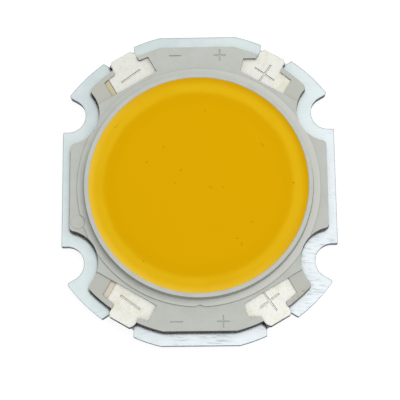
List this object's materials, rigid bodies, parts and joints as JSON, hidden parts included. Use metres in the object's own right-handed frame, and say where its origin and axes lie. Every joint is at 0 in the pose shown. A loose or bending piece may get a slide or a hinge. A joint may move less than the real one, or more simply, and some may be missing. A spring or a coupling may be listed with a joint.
{
  "type": "cob led",
  "caption": "Round chip-on-board LED light source: phosphor disc in a moulded ring on an aluminium plate, with screw slots and solder tabs at the rim.",
  "frame": {"origin": "centre of the plate on its back face", "axes": "+Z towards the light, +X towards the positive pads, +Y towards one of the two end flats"},
  "size_m": [0.0236, 0.0272, 0.0026],
  "materials": {
    "plate_aluminium": "fine brushed",
    "grey_moulding": "matte moulded thermoset",
    "silvered_lead": "matte silver plate over copper",
    "phosphor_gel": "soft silicone filled with phosphor",
    "led_chip": "polished sapphire die",
    "bond_wire": "drawn gold wire"
  },
  "bodies": {
    "root": {"base_plate": "plate_aluminium", "housing": "grey_moulding", "negative_leadframe": "silvered_lead", "positive_leadframe": "silvered_lead", "phosphor_gel": "phosphor_gel", "chip_string_1": "led_chip", "chip_string_2": "led_chip", "chip_string_3": "led_chip", "chip_string_4": "led_chip", "chip_string_5": "led_chip", "chip_string_6": "led_chip", "chip_string_7": "led_chip", "chip_string_8": "led_chip", "bond_wires_1": "bond_wire", "bond_wires_2": "bond_wire", "bond_wires_3": "bond_wire", "bond_wires_4": "bond_wire", "bond_wires_5": "bond_wire", "bond_wires_6": "bond_wire", "bond_wires_7": "bond_wire", "bond_wires_8": "bond_wire"}
  },
  "joints": []
}
